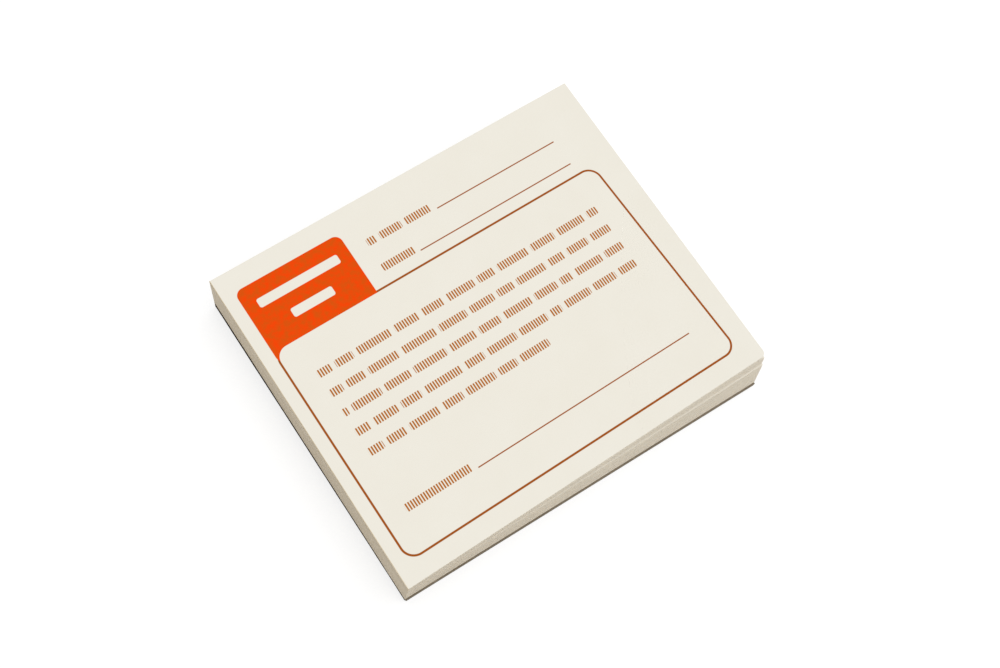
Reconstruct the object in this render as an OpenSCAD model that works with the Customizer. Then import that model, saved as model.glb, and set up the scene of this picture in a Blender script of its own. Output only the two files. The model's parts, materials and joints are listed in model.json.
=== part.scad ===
// Gummed ticket pad: loose paper leaves on a backing board, held along the left edge by a film of gum.
// The origin is at the middle of the underside, +X runs from the gummed edge to the free edge,
// +Y runs from the foot of the tickets to the head, and +Z runs up through the stack.

/* [Ticket] */
// Width of a ticket, from the gummed edge to the free edge
leaf_w = 76; // [50:1:120]
// Height of a ticket, from the foot to the head
leaf_h = 63.5; // [40:0.5:100]
// Thickness of one sheet of paper
sheet_t = 0.111; // [0.05:0.001:0.2]
// Air left between one sheet and the next
air_gap = 0.005; // [0.002:0.001:0.02]

/* [Stack] */
// Single tickets on top of the block
single_count = 10; // [2:1:14]
// Tickets in one bundle of the block
bundle_size = 10; // [3:1:16]
// Bundles in each section of the block
bundles_per_section = 3; // [1:1:5]

/* [Backing board] */
// Thickness of the greyboard
board_t = 1.2; // [0.4:0.1:2]
// How far the board stands out past the leaves at the foot
board_lip = 0.25; // [0:0.05:1]

/* [Gum] */
// Thickness of the gum film on the bound edge
gum_t = 0.12; // [0.06:0.02:0.6]

/* [Trim] */
// How far the board's foot runs out past the top ticket's at the free corner
flare = 1.95; // [0:0.05:3]
// Part of the flare that comes in one step, where the upper leaves slipped back
flare_step = 0.3; // [0:0.05:0.6]
// Leaves that lie above the step
leaves_above_step = 32; // [5:1:80]
// How far the loose edges of single sheets stray inwards
stray = 0.1; // [0:0.01:0.2]

/* [Hidden] */
SECTIONS = ["lower", "middle", "upper"];
section_size = bundles_per_section * bundle_size;
block_size = len(SECTIONS) * section_size;
leaf_count = block_size + single_count;
leaf_pitch = sheet_t + air_gap;

// The gum's outer face and the free edge stand at equal distances from the middle
outer_x = -(leaf_w + gum_t) / 2;
bound_x = outer_x + gum_t;
free_x = bound_x + leaf_w;
foot_y = (flare + board_lip - leaf_h) / 2;
head_y = foot_y + leaf_h;

// Angle between the strays of neighbouring leaves, chosen so that they never repeat
stray_turn = 137.5;

paper_colour = "#efeadd";
board_colour = "#8a7c69";
gum_colour = "#b3a68d";

function two_digits(n) = n < 10 ? str("0", n) : str(n);
function ticket_name(n) = str("ticket_", two_digits(n));
function ticket_gum_name(n) = str("ticket_gum_", two_digits(n));
function bundle_name(section, n) = str(SECTIONS[section], "_tickets_", n);
function section_gum_name(section) = str(SECTIONS[section], "_gum");

// Leaves are counted from the board up, tickets from the top down
function leaf_z(leaf) = board_t + leaf * leaf_pitch;
function ticket_leaf(n) = leaf_count - n;
function bundle_leaf(section, n) = section * section_size + (n - 1) * bundle_size;

// The foot is cut out of square: it runs out further on each leaf that lies deeper in the stack
function leaves_above(leaf) = leaf_count - 1 - leaf;
function sloped_flare(depth) = max(flare - flare_step, 0) * depth / leaf_count;
function stepped_flare(depth) = depth < leaves_above_step ? 0 : min(flare_step, flare);
function corner_flare(depth) = sloped_flare(depth) + stepped_flare(depth);
function edge_stray(leaf, side) = stray * (1 + sin((leaf + side * leaf_count) * stray_turn)) / 2;

// Outline from the bound foot corner round to the bound head corner
function outline(foot, free, head, run_out) = [
    [bound_x, foot],
    [free, foot - run_out],
    [free, head],
    [bound_x, head]
];

function leaf_outline(leaf) = outline(
    foot_y + edge_stray(leaf, 0),
    free_x - edge_stray(leaf, 1),
    head_y - edge_stray(leaf, 2),
    corner_flare(leaves_above(leaf))
);

module leaf(number) {
    translate([0, 0, leaf_z(number)])
        linear_extrude(sheet_t)
            polygon(leaf_outline(number));
}

module gum_film(low, high) {
    color(gum_colour)
        translate([outer_x, foot_y, low])
            cube([gum_t, leaf_h, high - low]);
}

module backing_board() {
    color(board_colour)
        linear_extrude(board_t)
            polygon(outline(foot_y - board_lip, free_x, head_y, flare));
}

module board_gum() {
    gum_film(0, board_t);
}

module bundle(section, n) {
    color(paper_colour)
        for (k = [0 : bundle_size - 1])
            leaf(bundle_leaf(section, n) + k);
}

module section_gum(section) {
    gum_film(leaf_z(section * section_size), leaf_z((section + 1) * section_size));
}

module ticket(n) {
    color(paper_colour)
        leaf(ticket_leaf(n));
}

module ticket_gum(n) {
    gum_film(leaf_z(ticket_leaf(n)), leaf_z(ticket_leaf(n) + 1));
}

backing_board();
board_gum();
for (s = [0 : len(SECTIONS) - 1]) {
    for (n = [1 : bundles_per_section])
        bundle(s, n);
    section_gum(s);
}
for (n = [1 : single_count]) {
    ticket(n);
    ticket_gum(n);
}
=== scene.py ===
import json
import math

import bpy
from mathutils import Matrix, Vector


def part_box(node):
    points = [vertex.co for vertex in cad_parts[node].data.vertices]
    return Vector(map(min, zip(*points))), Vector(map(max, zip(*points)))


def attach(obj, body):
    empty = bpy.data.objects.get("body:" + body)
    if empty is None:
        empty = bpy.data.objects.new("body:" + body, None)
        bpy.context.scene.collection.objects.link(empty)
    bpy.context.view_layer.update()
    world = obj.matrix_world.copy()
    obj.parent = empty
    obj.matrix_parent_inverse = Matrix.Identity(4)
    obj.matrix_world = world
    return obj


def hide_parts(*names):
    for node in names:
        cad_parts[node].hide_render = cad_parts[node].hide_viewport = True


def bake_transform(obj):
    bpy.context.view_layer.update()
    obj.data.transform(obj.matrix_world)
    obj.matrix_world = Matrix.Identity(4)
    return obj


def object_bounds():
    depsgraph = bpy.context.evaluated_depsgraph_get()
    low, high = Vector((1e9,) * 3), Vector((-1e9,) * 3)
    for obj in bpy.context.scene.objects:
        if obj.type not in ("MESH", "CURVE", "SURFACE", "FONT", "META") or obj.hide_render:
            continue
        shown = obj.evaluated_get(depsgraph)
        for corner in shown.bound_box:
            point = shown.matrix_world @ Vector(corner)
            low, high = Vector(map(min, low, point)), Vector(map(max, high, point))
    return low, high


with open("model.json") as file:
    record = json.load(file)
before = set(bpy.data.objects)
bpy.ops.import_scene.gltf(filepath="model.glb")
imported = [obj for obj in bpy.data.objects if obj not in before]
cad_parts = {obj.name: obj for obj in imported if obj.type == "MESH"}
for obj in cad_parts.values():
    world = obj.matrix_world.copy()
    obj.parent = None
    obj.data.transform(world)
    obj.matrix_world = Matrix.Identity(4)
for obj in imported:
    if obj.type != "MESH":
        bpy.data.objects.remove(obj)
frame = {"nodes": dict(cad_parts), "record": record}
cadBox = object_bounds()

mm = 0.001
tolerance = 0.01 * mm
white = (1, 1, 1, 1)
mapScale = 10                         # the pieces' own maps count in tenths of a metre
mapToMm = 1 / (mapScale * mm)
mixFrom, mixTo, mixOut = 6, 7, 2      # the colour sockets of a Mix node
faceTilt = 0.5                        # a normal that rises by more than this is an upper face's
smoothAngle = math.radians(35)
scene = bpy.context.scene
scene.view_settings.view_transform = "Standard"

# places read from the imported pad: x runs from the gum to the free edge, y from foot to head
boardLow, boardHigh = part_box("backing_board")
gumLow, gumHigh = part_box("lower_gum")
outerX, boundX, freeX = gumLow.x, gumHigh.x, boardHigh.x
footY, headY = gumLow.y, gumHigh.y
topZ = cadBox[1].z

bodies = frame["record"]["behaviour"]["bodies"]
bodyOf = {node: body for body, nodes in bodies.items() for node in nodes}
gumNames = sorted(name for name in frame["nodes"] if "gum" in name)
ticketNames = sorted(name for name in frame["nodes"]
                     if name.startswith("ticket_") and name not in gumNames)
bundleNames = sorted(name for name in frame["nodes"] if "_tickets_" in name)
print("frame:", len(ticketNames), "single tickets,", len(bundleNames), "bundles,",
      len(gumNames), "gum films")


def toLinear(hexColour):
    # the sRGB curve
    channels = (int(hexColour[i:i + 2], 16) / 255 for i in (1, 3, 5))
    linear = (c / 12.92 if c <= 0.04045 else ((c + 0.055) / 1.055) ** 2.4 for c in channels)
    return (*linear, 1.0)


def addNode(tree, kind, inputs=None, **settings):
    node = tree.nodes.new(kind)
    for name, value in settings.items():
        setattr(node, name, value)
    for socket, value in (inputs or {}).items():
        if isinstance(value, bpy.types.NodeSocket):
            tree.links.new(value, node.inputs[socket])
        else:
            node.inputs[socket].default_value = value
    return node


def newMaterial(name):
    material = bpy.data.materials.new(name)
    material.use_nodes = True
    tree = material.node_tree
    return material, tree, tree.nodes["Principled BSDF"]


# the form on each ticket, in mm from the gum's outer face and from the head
printForm = {
    "frame": (2.65, 71.40, 16.86, 59.70),
    "frameRadius": 2.45,
    "frameLine": 0.385,
    "frameLean": 0.036,      # the right side was printed out of square, in mm across per mm down
    "tab": (2.50, 23.64, 4.05, 19.50),
    "tabRadius": 1.5,
    "rules": ((41.45, 67.28, 9.03), (34.44, 67.42, 14.34), (21.12, 66.55, 52.75)),
    "ruleLine": 0.225,
    "inkEdge": 0.03,
}
# rows of plain bars across the form: a fine line screen on the paper, bare paper in the tab
bodyBars = {
    "left": 6.9, "right": 66.2, "lastRight": 44.5,
    "rows": 5, "baseline": 25.15, "step": 4.06,
    "above": 0.75,                                       # share of a step above the baseline
    "height": 1.5, "radius": 0.3,
    "slot": 5.93, "gap": 0.9, "gapSpan": (0.18, 0.82),   # span: where in its slot a gap may lie
    "seed": 3.0, "screen": 0.52, "stroke": 0.29,
}
labelBars = (
    dict(bodyBars, left=27.1, right=40.3, lastRight=40.3, baseline=8.95, rows=1, seed=11.0),
    dict(bodyBars, left=26.9, right=33.5, lastRight=33.5, baseline=14.35, rows=1, gap=0.0),
    dict(bodyBars, left=6.9, right=20.0, lastRight=20.0, baseline=52.75, rows=1, gap=0.0),
)
headingBold = {"rows": 1, "height": 1.8, "radius": 0.4, "gap": 0.0, "screen": 0.0}
headingBars = (
    dict({**bodyBars, **headingBold}, left=5.0, right=21.3, lastRight=21.3, baseline=8.95),
    dict({**bodyBars, **headingBold}, left=9.1, right=17.4, lastRight=17.4, baseline=13.5),
)


def roundedEdge(tree, past, radius):
    # distance in mm from a round corner, given how far a place lies past the two straight sides
    shrunk = addNode(tree, "ShaderNodeVectorMath", {0: past, 1: (radius, radius, 0)},
                     operation="ADD").outputs[0]
    outside = addNode(tree, "ShaderNodeVectorMath", {0: shrunk, 1: (0, 0, 0)},
                      operation="MAXIMUM").outputs[0]
    length = addNode(tree, "ShaderNodeVectorMath", {0: outside},
                     operation="LENGTH").outputs["Value"]
    axes = addNode(tree, "ShaderNodeSeparateXYZ", {0: shrunk}).outputs
    deepest = addNode(tree, "ShaderNodeMath", {0: axes[0], 1: axes[1]},
                      operation="MAXIMUM").outputs[0]
    within = addNode(tree, "ShaderNodeMath", {0: deepest, 1: 0.0}, operation="MINIMUM").outputs[0]
    total = addNode(tree, "ShaderNodeMath", {0: length, 1: within}, operation="ADD").outputs[0]
    return addNode(tree, "ShaderNodeMath", {0: total, 1: radius}, operation="SUBTRACT").outputs[0]


def roundedBox(tree, place, box, radius):
    # distance in mm from the outline of a box with round corners, below zero inside it
    left, right, top, bottom = box
    centre = ((left + right) / 2, (top + bottom) / 2, 0)
    half = ((right - left) / 2, (bottom - top) / 2, 0)
    offset = addNode(tree, "ShaderNodeVectorMath", {0: place, 1: centre},
                     operation="SUBTRACT").outputs[0]
    folded = addNode(tree, "ShaderNodeVectorMath", {0: offset}, operation="ABSOLUTE").outputs[0]
    past = addNode(tree, "ShaderNodeVectorMath", {0: folded, 1: half},
                   operation="SUBTRACT").outputs[0]
    return roundedEdge(tree, past, radius)


def inked(tree, distance):
    # 1 inside an outline and 0 outside it, over the soft edge of the ink
    edge = printForm["inkEdge"]
    return addNode(tree, "ShaderNodeMapRange",
                   {"Value": distance, "From Min": edge, "From Max": -edge}).outputs[0]


def barRows(tree, place, block):
    # rows of bars with round corners; each slot along a row holds one gap, at a place of its own
    left, right, slotLength = block["left"], block["right"], block["slot"]
    step, above, height = block["step"], block["above"], block["height"]
    axes = addNode(tree, "ShaderNodeSeparateXYZ", {0: place}).outputs
    down = addNode(tree, "ShaderNodeMath",
                   {0: axes[1], 1: 1 / step, 2: above - block["baseline"] / step},
                   operation="MULTIPLY_ADD").outputs[0]
    row = addNode(tree, "ShaderNodeMath", {0: down}, operation="FLOOR").outputs[0]
    inRow = addNode(tree, "ShaderNodeMath", {0: down}, operation="FRACT").outputs[0]
    fromMiddle = addNode(tree, "ShaderNodeMath",
                         {0: inRow, 1: step, 2: height / 2 - above * step},
                         operation="MULTIPLY_ADD").outputs[0]
    offMiddle = addNode(tree, "ShaderNodeMath", {0: fromMiddle}, operation="ABSOLUTE").outputs[0]
    pastHeight = addNode(tree, "ShaderNodeMath", {0: offMiddle, 1: height / 2},
                         operation="SUBTRACT").outputs[0]
    # the row's own ends, and the last row is shorter; rows are whole, so limits lie between them
    lastRow, halfRow = block["rows"] - 1, 0.5
    isLast = addNode(tree, "ShaderNodeMath", {0: row, 1: lastRow - halfRow},
                     operation="GREATER_THAN").outputs[0]
    end = addNode(tree, "ShaderNodeMath", {0: isLast, 1: block["lastRight"] - right, 2: right},
                  operation="MULTIPLY_ADD").outputs[0]
    pastEnd = addNode(tree, "ShaderNodeMath", {0: axes[0], 1: end},
                      operation="SUBTRACT").outputs[0]
    pastStart = addNode(tree, "ShaderNodeMath", {0: left, 1: axes[0]},
                        operation="SUBTRACT").outputs[0]
    pastSide = addNode(tree, "ShaderNodeMath", {0: pastStart, 1: pastEnd},
                       operation="MAXIMUM").outputs[0]
    if block["gap"]:
        gapFrom, gapTo = block["gapSpan"]
        steps = addNode(tree, "ShaderNodeMath",
                        {0: axes[0], 1: 1 / slotLength, 2: -left / slotLength},
                        operation="MULTIPLY_ADD").outputs[0]
        slot = addNode(tree, "ShaderNodeMath", {0: steps}, operation="FLOOR").outputs[0]
        inSlot = addNode(tree, "ShaderNodeMath", {0: steps}, operation="FRACT").outputs[0]
        slotPlace = addNode(tree, "ShaderNodeCombineXYZ",
                            {0: slot, 1: row, 2: block["seed"]}).outputs[0]
        chance = addNode(tree, "ShaderNodeTexWhiteNoise", {"Vector": slotPlace},
                         noise_dimensions="3D").outputs["Value"]
        gapPlace = addNode(tree, "ShaderNodeMapRange",
                           {"Value": chance, "To Min": gapFrom, "To Max": gapTo}).outputs[0]
        fromGap = addNode(tree, "ShaderNodeMath", {0: inSlot, 1: gapPlace},
                          operation="SUBTRACT").outputs[0]
        offGap = addNode(tree, "ShaderNodeMath", {0: fromGap}, operation="ABSOLUTE").outputs[0]
        pastGap = addNode(tree, "ShaderNodeMath", {0: offGap, 1: -slotLength, 2: block["gap"] / 2},
                          operation="MULTIPLY_ADD").outputs[0]
        pastSide = addNode(tree, "ShaderNodeMath", {0: pastSide, 1: pastGap},
                           operation="MAXIMUM").outputs[0]
    past = addNode(tree, "ShaderNodeCombineXYZ", {0: pastSide, 1: pastHeight}).outputs[0]
    bars = inked(tree, roundedEdge(tree, past, block["radius"]))
    if block["screen"]:
        lines = addNode(tree, "ShaderNodeMath", {0: axes[0], 1: block["screen"] / 2},
                        operation="PINGPONG").outputs[0]
        offLine = addNode(tree, "ShaderNodeMath", {0: lines, 1: block["stroke"] / 2},
                          operation="SUBTRACT").outputs[0]
        bars = addNode(tree, "ShaderNodeMath", {0: bars, 1: inked(tree, offLine)},
                       operation="MULTIPLY").outputs[0]
    fromFirst = addNode(tree, "ShaderNodeMath", {0: row, 1: -halfRow},
                        operation="GREATER_THAN").outputs[0]
    toLast = addNode(tree, "ShaderNodeMath", {0: row, 1: lastRow + halfRow},
                     operation="LESS_THAN").outputs[0]
    for limit in (fromFirst, toLast):
        bars = addNode(tree, "ShaderNodeMath", {0: bars, 1: limit}, operation="MULTIPLY").outputs[0]
    return bars


def leanOver(tree, place):
    # slides a place back across the ticket, so that a box drawn there leans out on its right side
    right, top, bottom = printForm["frame"][1:]
    axes = addNode(tree, "ShaderNodeSeparateXYZ", {0: place}).outputs
    below = addNode(tree, "ShaderNodeMath", {0: axes[1], 1: (top + bottom) / 2},
                    operation="SUBTRACT").outputs[0]
    share = addNode(tree, "ShaderNodeMath", {0: axes[0], 1: -printForm["frameLean"] / right},
                    operation="MULTIPLY").outputs[0]
    across = addNode(tree, "ShaderNodeMath", {0: below, 1: share, 2: axes[0]},
                     operation="MULTIPLY_ADD").outputs[0]
    return addNode(tree, "ShaderNodeCombineXYZ", {0: across, 1: axes[1]}).outputs[0]


def makePrintGroup():
    # one drawing of the form, shared by every paper that carries it
    tree = bpy.data.node_groups.new("ticketForm", "ShaderNodeTree")
    tree.interface.new_socket("Place", in_out="INPUT", socket_type="NodeSocketVector")
    for name in ("Block", "Line", "Bars"):
        tree.interface.new_socket(name, in_out="OUTPUT", socket_type="NodeSocketFloat")
    place = addNode(tree, "NodeGroupInput").outputs["Place"]
    leaning = leanOver(tree, place)
    frameEdge = roundedBox(tree, leaning, printForm["frame"], printForm["frameRadius"])
    halfLine = printForm["frameLine"] / 2
    # the tab is what part of its box lies outside the frame, and the frame's line is one with it
    tab = inked(tree, roundedBox(tree, place, printForm["tab"], printForm["tabRadius"]))
    outsideFrame = addNode(tree, "ShaderNodeMath", {0: frameEdge, 1: -halfLine},
                           operation="GREATER_THAN").outputs[0]
    block = addNode(tree, "ShaderNodeMath", {0: tab, 1: outsideFrame},
                    operation="MULTIPLY").outputs[0]
    for heading in headingBars:
        bare = addNode(tree, "ShaderNodeMath", {0: 1.0, 1: barRows(tree, place, heading)},
                       operation="SUBTRACT").outputs[0]
        block = addNode(tree, "ShaderNodeMath", {0: block, 1: bare},
                        operation="MULTIPLY").outputs[0]
    fromLine = addNode(tree, "ShaderNodeMath", {0: frameEdge}, operation="ABSOLUTE").outputs[0]
    past = addNode(tree, "ShaderNodeMath", {0: fromLine, 1: halfLine},
                   operation="SUBTRACT").outputs[0]
    line = inked(tree, past)
    half = printForm["ruleLine"] / 2
    for left, right, down in printForm["rules"]:
        box = (left, right, down - half, down + half)
        rule = inked(tree, roundedBox(tree, place, box, half / 2))
        line = addNode(tree, "ShaderNodeMath", {0: line, 1: rule}, operation="MAXIMUM").outputs[0]
    bars = barRows(tree, place, bodyBars)
    for label in labelBars:
        bars = addNode(tree, "ShaderNodeMath", {0: bars, 1: barRows(tree, place, label)},
                       operation="MAXIMUM").outputs[0]
    addNode(tree, "NodeGroupOutput", {"Block": block, "Line": line, "Bars": bars})
    return tree


# uncoated bond paper: matt and creamy, with a faint cloudiness and a fine tooth
# that only grazing light shows
bondPaper = {
    "cream": "#F0ECE1", "shade": "#ECE7DA", "cloud": 9.0, "cloudDetail": 4.0, "cloudGrit": 0.6,
    "tooth": 0.35, "toothDetail": 3.0, "toothDepth": 0.012, "toothStrength": 0.5,
    "roughness": 0.88, "sheen": 0.02, "throughPrint": 0.05,
}
# offset ink: a flat spot orange, a little uneven where it fills a solid, browner where it is thin
spotInk = {
    "block": "#F34708", "blockPale": "#DA540F", "line": "#A25518", "bars": "#B46A1E",
    "mottle": 1.1, "mottleDetail": 3.0, "mottleSpan": (0.35, 0.65),
}


def paperColour(tree, place):
    cloud = addNode(tree, "ShaderNodeTexNoise",
                    {"Vector": place, "Scale": 1 / bondPaper["cloud"],
                     "Detail": bondPaper["cloudDetail"],
                     "Roughness": bondPaper["cloudGrit"]}).outputs[0]
    return addNode(tree, "ShaderNodeMix",
                   {"Factor": cloud, mixFrom: toLinear(bondPaper["cream"]),
                    mixTo: toLinear(bondPaper["shade"])}, data_type="RGBA").outputs[mixOut]


def paperTooth(tree, place, shader):
    tooth = addNode(tree, "ShaderNodeTexNoise",
                    {"Vector": place, "Scale": 1 / bondPaper["tooth"],
                     "Detail": bondPaper["toothDetail"]}).outputs[0]
    bump = addNode(tree, "ShaderNodeBump",
                   {"Strength": bondPaper["toothStrength"],
                    "Distance": bondPaper["toothDepth"] * mm, "Height": tooth})
    tree.links.new(bump.outputs[0], shader.inputs["Normal"])
    shader.inputs["Roughness"].default_value = bondPaper["roughness"]
    shader.inputs["Specular IOR Level"].default_value = bondPaper["sheen"]


def printedColour(tree, place, paper, strength):
    form = addNode(tree, "ShaderNodeGroup", node_tree=formGroup)
    tree.links.new(place, form.inputs["Place"])
    mottle = addNode(tree, "ShaderNodeTexNoise",
                     {"Vector": place, "Scale": 1 / spotInk["mottle"],
                      "Detail": spotInk["mottleDetail"]}).outputs[0]
    low, high = spotInk["mottleSpan"]
    uneven = addNode(tree, "ShaderNodeMapRange",
                     {"Value": mottle, "From Min": low, "From Max": high}).outputs[0]
    solid = addNode(tree, "ShaderNodeMix",
                    {"Factor": uneven, mixFrom: toLinear(spotInk["block"]),
                     mixTo: toLinear(spotInk["blockPale"])}, data_type="RGBA").outputs[mixOut]
    tones = {"Line": toLinear(spotInk["line"]), "Bars": toLinear(spotInk["bars"]), "Block": solid}
    colour = paper
    for layer, tone in tones.items():
        cover = addNode(tree, "ShaderNodeMath", {0: form.outputs[layer], 1: strength},
                        operation="MULTIPLY").outputs[0]
        colour = addNode(tree, "ShaderNodeMix", {"Factor": cover, mixFrom: colour, mixTo: tone},
                         data_type="RGBA").outputs[mixOut]
    return colour


def makeSheetPaper(name, strength):
    # a loose ticket bends, so its pattern follows its own map
    material, tree, shader = newMaterial(name)
    sheetMap = addNode(tree, "ShaderNodeUVMap", uv_map="sheetMap").outputs[0]
    place = addNode(tree, "ShaderNodeVectorMath", {0: sheetMap, "Scale": mapToMm},
                    operation="SCALE").outputs[0]
    colour = printedColour(tree, place, paperColour(tree, place), strength)
    tree.links.new(colour, shader.inputs["Base Color"])
    paperTooth(tree, place, shader)
    return material


# guillotined paper edges: duller than the face, streaked along the sheets, darker and warmer at the
# board
paperEdge = {
    "upper": "#D8C8AE", "lower": "#CDBB9B", "dark": "#B3A288", "streak": 0.16, "run": 22.0,
    "streakDetail": 2.0, "streakSpan": (0.35, 0.8), "streakDepth": 0.6,
}


def makeBlockPaper():
    material, tree, shader = newMaterial("bondPaperBlock")
    source = addNode(tree, "ShaderNodeTexCoord").outputs
    inMm = addNode(tree, "ShaderNodeVectorMath", {0: source["Object"], "Scale": 1 / mm},
                   operation="SCALE").outputs[0]
    place = addNode(tree, "ShaderNodeVectorMath",
                    {0: inMm, 1: (1, -1, 0), 2: (-outerX / mm, headY / mm, 0)},
                    operation="MULTIPLY_ADD").outputs[0]
    face = printedColour(tree, place, paperColour(tree, place), 1.0)
    # along the edges the pattern is stretched with the sheets and fine across them
    run, fine = 1 / paperEdge["run"], 1 / paperEdge["streak"]
    squeezed = addNode(tree, "ShaderNodeVectorMath", {0: inMm, 1: (run, run, fine)},
                       operation="MULTIPLY").outputs[0]
    streak = addNode(tree, "ShaderNodeTexNoise",
                     {"Vector": squeezed, "Scale": 1.0,
                      "Detail": paperEdge["streakDetail"]}).outputs[0]
    low, high = paperEdge["streakSpan"]
    deep = addNode(tree, "ShaderNodeMapRange",
                   {"Value": streak, "From Min": low, "From Max": high,
                    "To Max": paperEdge["streakDepth"]}).outputs[0]
    rise = addNode(tree, "ShaderNodeSeparateXYZ", {0: inMm}).outputs["Z"]
    # the edges run darker and warmer towards the board
    level = addNode(tree, "ShaderNodeMapRange",
                    {"Value": rise, "From Min": boardHigh.z / mm,
                     "From Max": topZ / mm}).outputs[0]
    toned = addNode(tree, "ShaderNodeMix",
                    {"Factor": level, mixFrom: toLinear(paperEdge["lower"]),
                     mixTo: toLinear(paperEdge["upper"])}, data_type="RGBA").outputs[mixOut]
    edge = addNode(tree, "ShaderNodeMix",
                   {"Factor": deep, mixFrom: toned, mixTo: toLinear(paperEdge["dark"])},
                   data_type="RGBA").outputs[mixOut]
    upward = addNode(tree, "ShaderNodeSeparateXYZ", {0: source["Normal"]}).outputs["Z"]
    isFace = addNode(tree, "ShaderNodeMath", {0: upward, 1: faceTilt},
                     operation="GREATER_THAN").outputs[0]
    colour = addNode(tree, "ShaderNodeMix", {"Factor": isFace, mixFrom: edge, mixTo: face},
                     data_type="RGBA").outputs[mixOut]
    tree.links.new(colour, shader.inputs["Base Color"])
    paperTooth(tree, inMm, shader)
    return material


def makeSheetEdge():
    material, tree, shader = newMaterial("bondPaperEdge")
    shader.inputs["Base Color"].default_value = toLinear(paperEdge["upper"])
    sheetMap = addNode(tree, "ShaderNodeUVMap", uv_map="sheetMap").outputs[0]
    place = addNode(tree, "ShaderNodeVectorMath", {0: sheetMap, "Scale": mapToMm},
                    operation="SCALE").outputs[0]
    paperTooth(tree, place, shader)
    return material


# greyboard: pressed waste paper, brown-grey and matt, flecked with darker and paler fibres
greyboard = {
    "base": "#8F826F", "dark": "#756958", "pale": "#A89A85", "cloud": 5.0, "cloudDetail": 5.0,
    "fleck": 0.7, "fleckDetail": 4.0, "fleckGrit": 0.7, "fleckSpan": (0.58, 0.72),
    "fleckDepth": 0.7, "roughness": 0.92, "bumpDepth": 0.03, "bumpStrength": 0.6,
    "bevel": 0.08, "bevelSegments": 2,
}


def makeGreyboard():
    material, tree, shader = newMaterial("greyboard")
    source = addNode(tree, "ShaderNodeTexCoord").outputs["Object"]
    inMm = addNode(tree, "ShaderNodeVectorMath", {0: source, "Scale": 1 / mm},
                   operation="SCALE").outputs[0]
    cloud = addNode(tree, "ShaderNodeTexNoise",
                    {"Vector": inMm, "Scale": 1 / greyboard["cloud"],
                     "Detail": greyboard["cloudDetail"]}).outputs[0]
    fleck = addNode(tree, "ShaderNodeTexNoise",
                    {"Vector": inMm, "Scale": 1 / greyboard["fleck"],
                     "Detail": greyboard["fleckDetail"],
                     "Roughness": greyboard["fleckGrit"]}).outputs[0]
    darkened = addNode(tree, "ShaderNodeMix",
                       {"Factor": cloud, mixFrom: toLinear(greyboard["base"]),
                        mixTo: toLinear(greyboard["dark"])}, data_type="RGBA").outputs[mixOut]
    low, high = greyboard["fleckSpan"]
    flecked = addNode(tree, "ShaderNodeMapRange",
                      {"Value": fleck, "From Min": low, "From Max": high,
                       "To Max": greyboard["fleckDepth"]}).outputs[0]
    colour = addNode(tree, "ShaderNodeMix",
                     {"Factor": flecked, mixFrom: darkened, mixTo: toLinear(greyboard["pale"])},
                     data_type="RGBA").outputs[mixOut]
    tree.links.new(colour, shader.inputs["Base Color"])
    bump = addNode(tree, "ShaderNodeBump",
                   {"Strength": greyboard["bumpStrength"],
                    "Distance": greyboard["bumpDepth"] * mm, "Height": fleck})
    tree.links.new(bump.outputs[0], shader.inputs["Normal"])
    shader.inputs["Roughness"].default_value = greyboard["roughness"]
    return material


# padding gum: a thin dried film of glue with a soft sheen and brush marks that run along the edge,
# and the cut edges of the leaves show through it as fine lines
paddingGum = {
    "clear": "#DFCFB2", "thick": "#C5B28F", "roughness": 0.5, "sheen": 0.35,
    "brush": 0.35, "run": 9.0, "brushDetail": 3.0, "brushWeight": 0.6,
    "leafLine": 0.17, "leafRun": 40.0, "leafDetail": 1.0,
    "leafSpan": (0.3, 0.7), "leafTone": (-0.25, 0.75),
    "bumpDepth": 0.02, "bumpStrength": 0.5,
    # the painted contact shadow along the base: dark, without sheen, higher at the head than the
    # foot
    "paintedShadow": "#2D251D", "paintedShadowSheen": 0.0, "shadowTop": 2.3, "shadowFoot": 1.25, "shadowEdge": 0.45,
    "swell": 0.03, "ridge": (0.9, 2.0, 1.3), "streak": (5.1, 0.8, 0.23),
    "split": 0.005, "columns": 40, "rowHeight": 0.35,
}


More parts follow.
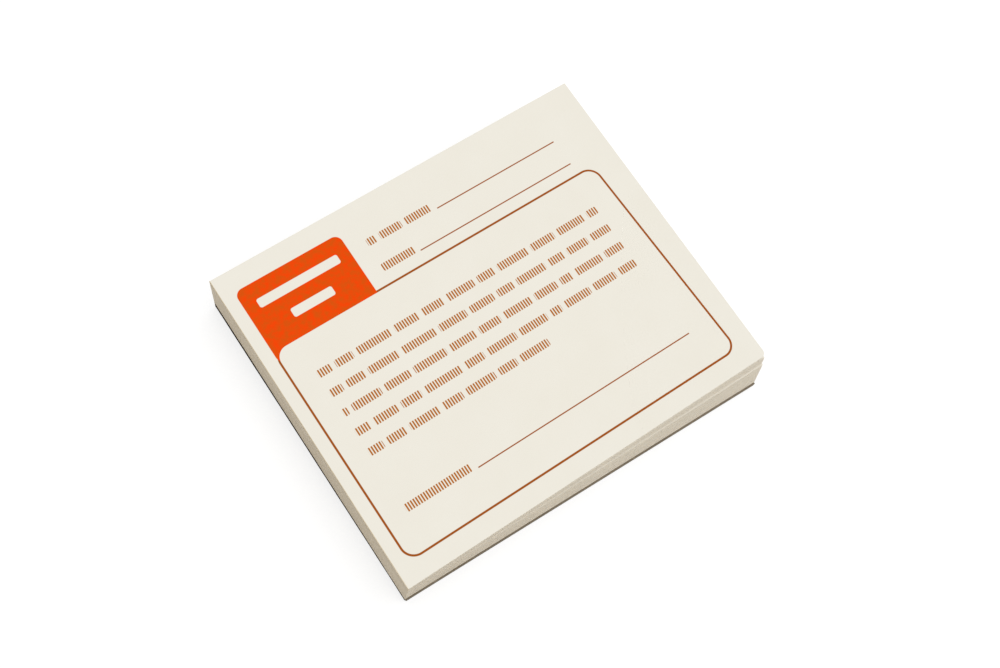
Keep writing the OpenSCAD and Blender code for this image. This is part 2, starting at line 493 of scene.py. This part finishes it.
def makePaddingGum(name, sheen):
    material, tree, shader = newMaterial(name)
    source = addNode(tree, "ShaderNodeUVMap", uv_map="filmMap").outputs[0]
    place = addNode(tree, "ShaderNodeVectorMath", {0: source, "Scale": mapToMm},
                    operation="SCALE").outputs[0]
    brushed = addNode(tree, "ShaderNodeVectorMath",
                      {0: place, 1: (1 / paddingGum["run"], 1 / paddingGum["brush"], 1)},
                      operation="MULTIPLY").outputs[0]
    brush = addNode(tree, "ShaderNodeTexNoise",
                    {"Vector": brushed, "Scale": 1.0,
                     "Detail": paddingGum["brushDetail"]}).outputs[0]
    ruled = addNode(tree, "ShaderNodeVectorMath",
                    {0: place, 1: (1 / paddingGum["leafRun"], 1 / paddingGum["leafLine"], 1)},
                    operation="MULTIPLY").outputs[0]
    leaves = addNode(tree, "ShaderNodeTexNoise",
                     {"Vector": ruled, "Scale": 1.0,
                      "Detail": paddingGum["leafDetail"]}).outputs[0]
    low, high = paddingGum["leafSpan"]
    pale, deep = paddingGum["leafTone"]
    lined = addNode(tree, "ShaderNodeMapRange",
                    {"Value": leaves, "From Min": low, "From Max": high,
                     "To Min": pale, "To Max": deep}).outputs[0]
    mixed = addNode(tree, "ShaderNodeMath", {0: brush, 1: paddingGum["brushWeight"], 2: lined},
                    operation="MULTIPLY_ADD", use_clamp=True).outputs[0]
    film = addNode(tree, "ShaderNodeMix",
                   {"Factor": mixed, mixFrom: toLinear(paddingGum["clear"]),
                    mixTo: toLinear(paddingGum["thick"])}, data_type="RGBA").outputs[mixOut]
    # a painted shadow: a dark line along the base, for the contact shade under the bound edge;
    # it thins out towards the foot
    axes = addNode(tree, "ShaderNodeSeparateXYZ", {0: place}).outputs
    level = addNode(tree, "ShaderNodeMapRange",
                    {"Value": axes[0], "From Max": (headY - footY) / mm,
                     "To Min": paddingGum["shadowTop"], "To Max": paddingGum["shadowFoot"]}).outputs[0]
    under = addNode(tree, "ShaderNodeMath", {0: level, 1: axes[1]}, operation="SUBTRACT").outputs[0]
    shadowCover = addNode(tree, "ShaderNodeMapRange",
                   {"Value": under, "From Max": paddingGum["shadowEdge"]}).outputs[0]
    colour = addNode(tree, "ShaderNodeMix",
                     {"Factor": shadowCover, mixFrom: film, mixTo: toLinear(paddingGum["paintedShadow"])},
                     data_type="RGBA").outputs[mixOut]
    tree.links.new(colour, shader.inputs["Base Color"])
    bump = addNode(tree, "ShaderNodeBump",
                   {"Strength": paddingGum["bumpStrength"],
                    "Distance": paddingGum["bumpDepth"] * mm, "Height": brush})
    tree.links.new(bump.outputs[0], shader.inputs["Normal"])
    shader.inputs["Roughness"].default_value = paddingGum["roughness"]
    shader.inputs["Specular IOR Level"].default_value = sheen
    return material


formGroup = makePrintGroup()
ticketFace = makeSheetPaper("bondPaperPrinted", 1.0)
ticketBack = makeSheetPaper("bondPaperBack", bondPaper["throughPrint"])
ticketEdge = makeSheetEdge()
blockPaper = makeBlockPaper()
boardFinish = makeGreyboard()
gumFinish = makePaddingGum("paddingGum", paddingGum["sheen"])
# a dark finish without sheen, for the painted contact shadow along the film's base
paintedShadowFinish = makePaddingGum("paddingGumPaintedShadow", paddingGum["paintedShadowSheen"])
print("materials:", len(formGroup.nodes), "nodes in the printed form")


def startPlane(name, low, high, level):
    bpy.ops.object.select_all(action="DESELECT")
    centre = ((low.x + high.x) / 2, (low.y + high.y) / 2, level)
    bpy.ops.mesh.primitive_plane_add(size=1, location=centre)
    piece = bpy.context.object
    piece.name = name
    piece.data.name = name
    piece.scale = (high.x - low.x, high.y - low.y, 1)
    bpy.ops.object.transform_apply(location=True, rotation=True, scale=True)
    return piece


def cutAcross(axis, places):
    # in edit mode: cuts the whole mesh at each place along one axis
    normal = Vector((0, 0, 0))
    normal[axis] = 1
    for place in places:
        bpy.ops.mesh.select_all(action="SELECT")
        bpy.ops.mesh.bisect(plane_co=normal * place, plane_no=normal)


def boundFootOf(node):
    # where the foot of a leaf or of the board meets the gum
    corners = [vertex.co for vertex in frame["nodes"][node].data.vertices]
    return min(corner.y for corner in corners if corner.x < boundX + tolerance)


def runOutFoot(piece, amount):
    # in edit mode: pulls the free corner of the foot out, as the trim was cut out of square
    bpy.ops.mesh.select_all(action="DESELECT")
    bpy.ops.object.mode_set(mode="OBJECT")
    corner = min(piece.data.vertices, key=lambda v: v.co.y - v.co.x)
    corner.select = True
    bpy.ops.object.mode_set(mode="EDIT")
    bpy.ops.transform.translate(value=(0, -amount, 0))


def applyModifiers(piece):
    bpy.context.view_layer.objects.active = piece
    for modifier in list(piece.modifiers):
        bpy.ops.object.modifier_apply(modifier=modifier.name)


def drawMap(piece, name, flatten):
    layer = piece.data.uv_layers.new(name=name)
    for loop in piece.data.loops:
        across, down = flatten(piece.data.vertices[loop.vertex_index].co)
        layer.data[loop.index].uv = (across * mapScale, down * mapScale)


# loose tickets: each is a bendable sheet, and the free corner of the top ones has lifted a little
looseTicket = {
    "bend": 7.0, "fineStrip": 0.4, "coarseStrip": 4.0, "crossStrip": 5.3,
    "lift": 0.15, "liftCurve": 3, "liftAtHead": 0.25, "wornCorner": 1.0, "cornerSegments": 4,
}


def bendOver(piece, node):
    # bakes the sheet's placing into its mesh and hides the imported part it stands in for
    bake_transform(piece)
    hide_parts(node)


def makeTicket(name, order):
    low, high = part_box(name)
    boundFoot = boundFootOf(name)
    piece = startPlane("sheet_" + name, Vector((low.x, boundFoot, 0)), high, high.z)
    bpy.ops.object.mode_set(mode="EDIT")
    runOutFoot(piece, boundFoot - low.y)
    bpy.ops.mesh.bevel(offset=looseTicket["wornCorner"] * mm, affect="VERTICES",
                       segments=looseTicket["cornerSegments"])
    # narrow strips where the sheet bends, wide ones beyond
    bendEnd = outerX + looseTicket["bend"] * mm
    fineStep, coarseStep = looseTicket["fineStrip"] * mm, looseTicket["coarseStrip"] * mm
    crossStep = looseTicket["crossStrip"] * mm
    fine = [boundX + fineStep * i for i in range(1, int((bendEnd - boundX) / fineStep) + 2)]
    coarseCount = int((freeX - fine[-1]) / coarseStep)
    coarse = [fine[-1] + coarseStep * i for i in range(1, coarseCount)]
    crossCount = int((high.y - boundFoot) / crossStep)
    cutAcross(0, fine + coarse)
    cutAcross(1, [boundFoot + crossStep * i for i in range(1, crossCount)])
    bpy.ops.object.mode_set(mode="OBJECT")
    solid = piece.modifiers.new("paper", "SOLIDIFY")
    solid.thickness = high.z - low.z
    solid.offset = -1
    applyModifiers(piece)
    # the lift shrinks from ticket to ticket, so no sheet meets the one under it
    lift = looseTicket["lift"] * mm * (1 - order / len(ticketNames))
    curve, atHead = looseTicket["liftCurve"], looseTicket["liftAtHead"]
    for vertex in piece.data.vertices:
        across = (vertex.co.x - boundX) / (freeX - boundX)
        toFoot = (headY - vertex.co.y) / (headY - footY)
        vertex.co.z += lift * across ** curve * (atHead + (1 - atHead) * toFoot ** 2)
    drawMap(piece, "sheetMap", lambda co: (co.x - outerX, headY - co.y))
    for finish in (ticketFace, ticketBack, ticketEdge):
        piece.data.materials.append(finish)
    for face in piece.data.polygons:
        rise = face.normal.z
        face.material_index = 0 if rise > faceTilt else 1 if rise < -faceTilt else 2
    bpy.ops.object.shade_smooth_by_angle(angle=smoothAngle)
    bendOver(piece, name)


for order, name in enumerate(ticketNames):
    makeTicket(name, order)
print("loose tickets:", len(ticketNames))


def swellAt(y, z):
    # how far the film falls back from its full thickness, from 0 to 1, in two sets of waves
    along, across = y / mm, z / mm
    wave, sway, swayWave = paddingGum["ridge"]
    ridge = math.sin(along * wave + sway * math.sin(across * swayWave))
    wave, sway, swayWave = paddingGum["streak"]
    streak = math.sin(across * wave + sway * math.sin(along * swayWave))
    return 0.5 + 0.25 * ridge + 0.25 * streak


def paintedShadowLevel(y):
    # how high the painted contact shadow reaches, at a place along the bound edge
    top, foot = paddingGum["shadowTop"] * mm, paddingGum["shadowFoot"] * mm
    return top + (foot - top) * (headY - y) / (headY - footY)


def makeGumFilm(name):
    low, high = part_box(name)
    high.z -= paddingGum["split"] * mm      # a hair of room, so that split films never rub
    bpy.ops.object.select_all(action="DESELECT")
    bpy.ops.mesh.primitive_cube_add(size=1, location=(low + high) / 2)
    piece = bpy.context.object
    piece.name = "film_" + name
    piece.data.name = piece.name
    piece.scale = high - low
    bpy.ops.object.transform_apply(location=True, rotation=True, scale=True)
    bpy.ops.object.mode_set(mode="EDIT")
    columns = paddingGum["columns"]
    cutAcross(1, [low.y + (high.y - low.y) * i / columns for i in range(1, columns)])
    rows = max(1, round((high.z - low.z) / mm / paddingGum["rowHeight"]))
    cutAcross(2, [low.z + (high.z - low.z) * i / rows for i in range(1, rows)])
    bpy.ops.object.mode_set(mode="OBJECT")
    for vertex in piece.data.vertices:
        if vertex.co.x < (low.x + high.x) / 2:
            vertex.co.x += paddingGum["swell"] * mm * swellAt(vertex.co.y, vertex.co.z)
    drawMap(piece, "filmMap", lambda co: (headY - co.y, co.z))
    piece.data.materials.append(gumFinish)
    # faces under the painted shadow's line take the dark finish without sheen
    if low.z < paddingGum["shadowFoot"] * mm:
        piece.data.materials.append(paintedShadowFinish)
        for face in piece.data.polygons:
            face.material_index = int(face.center.z < paintedShadowLevel(face.center.y))
    bpy.ops.object.shade_smooth_by_angle(angle=smoothAngle)
    if name.startswith("ticket_"):
        bendOver(piece, name)
    else:
        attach(piece, bodyOf[name])
        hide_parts(name)


for name in gumNames:
    makeGumFilm(name)
print("gum films:", len(gumNames))


def makeBoard():
    boundFoot = boundFootOf("backing_board")
    piece = startPlane("board_back", Vector((boundX, boundFoot, 0)), boardHigh, boardHigh.z)
    bpy.ops.object.mode_set(mode="EDIT")
    runOutFoot(piece, boundFoot - boardLow.y)
    bpy.ops.object.mode_set(mode="OBJECT")
    solid = piece.modifiers.new("board", "SOLIDIFY")
    solid.thickness = boardHigh.z - boardLow.z
    solid.offset = -1
    rounded = piece.modifiers.new("edges", "BEVEL")
    rounded.width = greyboard["bevel"] * mm
    rounded.segments = greyboard["bevelSegments"]
    applyModifiers(piece)
    piece.data.materials.append(boardFinish)
    bpy.ops.object.shade_smooth_by_angle(angle=smoothAngle)
    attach(piece, bodyOf["backing_board"])
    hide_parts("backing_board")


makeBoard()
for name in bundleNames:
    for slot in frame["nodes"][name].material_slots:
        slot.material = blockPaper
print("board and block dressed")

# camera where the photograph was taken from, in mm and degrees
photoView = {
    "azimuth": -51.985, "elevation": 70.061, "roll": 18.917, "distance": 254.657,
    "aim": (3.277, 0.812, 0.0), "lens": 49.446, "sensor": 36,
    "clip": (1, 100000),
}


def addCamera():
    turn, climb, roll = (math.radians(photoView[k]) for k in ("azimuth", "elevation", "roll"))
    level = math.cos(climb)
    back = Vector((math.sin(turn) * level, -math.cos(turn) * level, math.sin(climb)))
    right = Vector((math.cos(turn), math.sin(turn), 0))
    up = back.cross(right)
    rolledRight = right * math.cos(roll) + up * math.sin(roll)
    rolledUp = up * math.cos(roll) - right * math.sin(roll)
    turned = Matrix((rolledRight, rolledUp, back)).transposed().to_4x4()
    spot = (Vector(photoView["aim"]) + back * photoView["distance"]) * mm
    bpy.ops.object.camera_add()
    camera = bpy.context.object
    camera.name = "photoCamera"
    camera.matrix_world = Matrix.Translation(spot) @ turned
    camera.data.sensor_fit = "HORIZONTAL"
    camera.data.sensor_width = photoView["sensor"]
    camera.data.lens = photoView["lens"]
    camera.data.clip_start, camera.data.clip_end = (reach * mm for reach in photoView["clip"])
    scene.camera = camera


# a broad soft lamp from above and an even room, at a level where colours show as they are written
studio = {
    "lampAngle": 75, "lampStrength": 2.1, "lampFrom": (0.22, -0.12, 1.0),
    "room": 0.36, "backdrop": 1.0, "floorSize": 8.0, "floorDrop": 0.02,
    "floorShade": 0.36, "floorGlow": 0.71, "floorBounce": 0.8,
}


def addStudio():
    bpy.ops.object.light_add(type="SUN")
    lamp = bpy.context.object
    lamp.name = "softLamp"
    lamp.rotation_euler = Vector(studio["lampFrom"]).to_track_quat("Z", "Y").to_euler()
    lamp.data.energy = studio["lampStrength"]
    lamp.data.angle = math.radians(studio["lampAngle"])

    world = bpy.data.worlds.new("studioRoom")
    scene.world = world
    world.use_nodes = True
    tree = world.node_tree
    rays = addNode(tree, "ShaderNodeLightPath").outputs
    strength = addNode(tree, "ShaderNodeMapRange",
                       {"Value": rays["Is Camera Ray"], "To Min": studio["room"],
                        "To Max": studio["backdrop"]}).outputs[0]
    tree.links.new(strength, tree.nodes["Background"].inputs["Strength"])
    tree.nodes["Background"].inputs["Color"].default_value = white

    floorPlace = (0, 0, -studio["floorDrop"] * mm)
    bpy.ops.mesh.primitive_plane_add(size=studio["floorSize"], location=floorPlace)
    floor = bpy.context.object
    floor.name = "paleFloor"
    material, tree, shader = newMaterial("paleFloor")
    # the eye and mirrors see a floor that glows almost white under a light shadow;
    # it throws back less on the pad
    rays = addNode(tree, "ShaderNodeLightPath").outputs
    seen = rays["Is Camera Ray"]
    for kind in ("Is Glossy Ray", "Is Transmission Ray"):
        seen = addNode(tree, "ShaderNodeMath", {0: seen, 1: rays[kind]},
                       operation="MAXIMUM").outputs[0]
    shade = addNode(tree, "ShaderNodeMapRange",
                    {"Value": seen, "To Min": studio["floorBounce"],
                     "To Max": studio["floorShade"]}).outputs[0]
    glow = addNode(tree, "ShaderNodeMath", {0: seen, 1: studio["floorGlow"]},
                   operation="MULTIPLY").outputs[0]
    tree.links.new(shade, shader.inputs["Base Color"])
    tree.links.new(glow, shader.inputs["Emission Strength"])
    shader.inputs["Emission Color"].default_value = white
    shader.inputs["Roughness"].default_value = 1.0
    shader.inputs["Specular IOR Level"].default_value = 0.0
    floor.data.materials.append(material)


addCamera()
addStudio()
print("camera and studio set")
